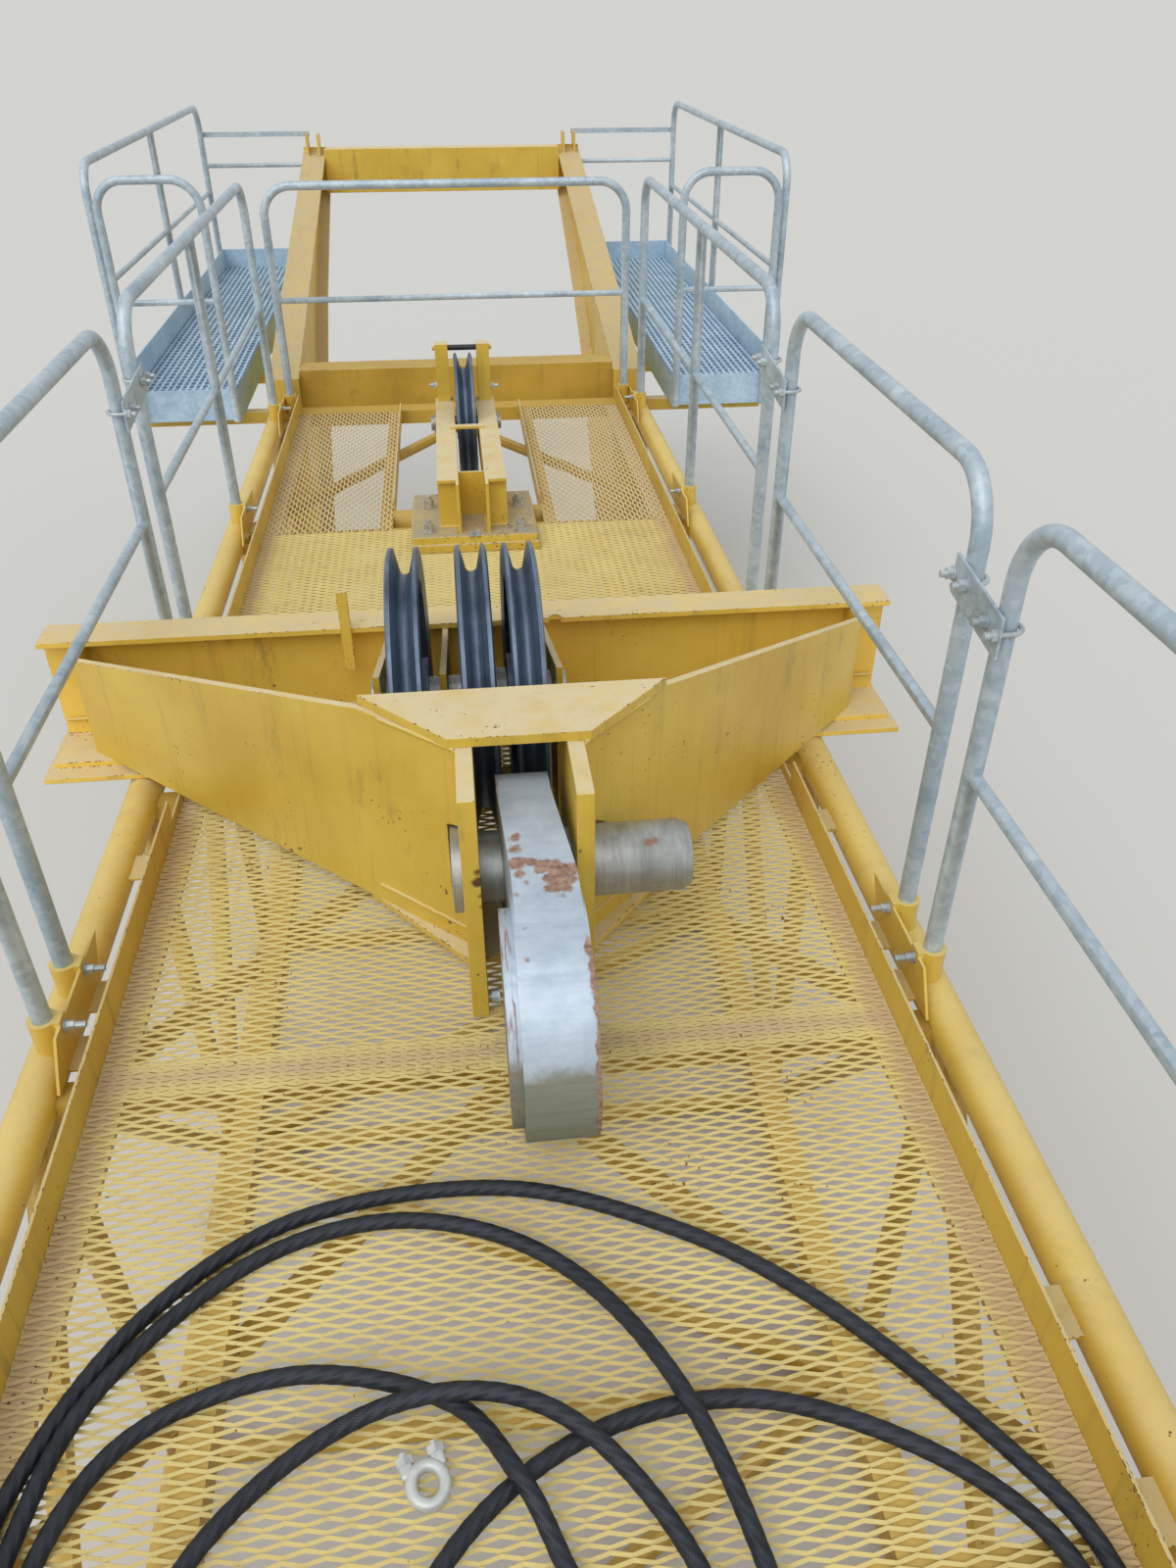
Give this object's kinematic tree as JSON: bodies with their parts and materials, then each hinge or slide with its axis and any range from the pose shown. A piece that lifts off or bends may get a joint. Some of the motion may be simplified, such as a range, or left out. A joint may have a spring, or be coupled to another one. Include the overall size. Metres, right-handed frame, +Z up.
{
  "type": "tower crane rear counter-jib section",
  "caption": "Lattice rear section of a tower crane with a mesh deck, pulley beam, pendant link, sheave stand, tail frame, catwalks and rails.",
  "frame": {"origin": "middle of the bounding box, on the ground under the lower chords", "axes": "+Y along the section towards the tail frame, +Z up, +X to the right"},
  "size_m": [3.2886, 10.4703, 2.629],
  "materials": {
    "yellow_paint": "satin industrial paint with a dusty film on its upward faces",
    "mesh_paint": "dusty yellow paint on expanded steel mesh",
    "galvanised_tube": "weathered hot-dip galvanised",
    "galvanised_plank": "weathered galvanised grip plank",
    "sheave_steel": "dark blue-grey, polished by rope in the groove",
    "pin_steel": "bare turned steel with light rust",
    "silver_paint": "silver paint, chipped to brown rust",
    "wire_rope": "dark greased wire rope",
    "clip_zinc": "dull zinc on a forged clip"
  },
  "bodies": {
    "frame": {"chord_top_left": "yellow_paint", "chord_top_right": "yellow_paint", "chord_bottom_left": "yellow_paint", "chord_bottom_right": "yellow_paint", "side_lattice_left": "yellow_paint", "side_lattice_right": "yellow_paint", "bottom_lattice": "yellow_paint", "deck_bearers": "yellow_paint", "well_bearers": "yellow_paint", "deck_bracing": "yellow_paint", "deck_mesh_near": "mesh_paint", "deck_mesh_mid": "mesh_paint", "deck_mesh_rear_left": "mesh_paint", "deck_mesh_rear_right": "mesh_paint", "toe_board_left": "yellow_paint", "toe_board_right": "yellow_paint", "well_toe_boards": "yellow_paint", "rail_sockets_left": "yellow_paint", "rail_sockets_right": "yellow_paint", "rail_near_left": "galvanised_tube", "rail_near_right": "galvanised_tube", "rail_mid_left": "galvanised_tube", "rail_mid_right": "galvanised_tube", "rail_far_left": "galvanised_tube", "rail_far_right": "galvanised_tube", "rail_end": "galvanised_tube", "rail_splices": "galvanised_tube", "beam_girder": "yellow_paint", "beam_wings": "yellow_paint", "beam_top_plate": "yellow_paint", "beam_lugs": "yellow_paint", "beam_cheeks": "yellow_paint", "beam_axle": "pin_steel", "big_pin": "pin_steel", "stand_base": "yellow_paint", "stand_arms": "yellow_paint", "stand_axle": "pin_steel", "tail_girder_left": "yellow_paint", "tail_girder_right": "yellow_paint", "tail_cross_near": "yellow_paint", "tail_cross_far": "yellow_paint", "catwalk_left": "galvanised_plank", "catwalk_right": "galvanised_plank", "catwalk_outriggers_left": "yellow_paint", "catwalk_outriggers_right": "yellow_paint", "catwalk_rail_left": "galvanised_tube", "catwalk_rail_right": "galvanised_tube", "rope": "wire_rope", "rope_clip": "clip_zinc"},
    "link": {"link": "silver_paint"},
    "sheave_left": {"beam_sheave_1": "sheave_steel"},
    "sheave_middle": {"beam_sheave_2": "sheave_steel"},
    "sheave_right": {"beam_sheave_3": "sheave_steel"},
    "sheave_stand": {"stand_sheave": "sheave_steel"}
  },
  "joints": [
    {"name": "link_swing", "type": "hinge", "parent": "frame", "child": "link", "pos_m": [0.06, -2.07075, 1.77], "axis": [-1, 0, 0], "range_deg": [0, 45]},
    {"name": "left_sheave_spin", "type": "hinge", "parent": "frame", "child": "sheave_left", "pos_m": [-0.165, -1.50075, 1.86], "axis": [1, 0, 0], "continuous": true},
    {"name": "middle_sheave_spin", "type": "hinge", "parent": "frame", "child": "sheave_middle", "pos_m": [-0.01, -1.50075, 1.86], "axis": [1, 0, 0], "continuous": true},
    {"name": "right_sheave_spin", "type": "hinge", "parent": "frame", "child": "sheave_right", "pos_m": [0.1, -1.50075, 1.86], "axis": [1, 0, 0], "continuous": true},
    {"name": "stand_sheave_spin", "type": "hinge", "parent": "frame", "child": "sheave_stand", "pos_m": [0.02, 1.21925, 1.67], "axis": [1, 0, 0], "continuous": true}
  ]
}
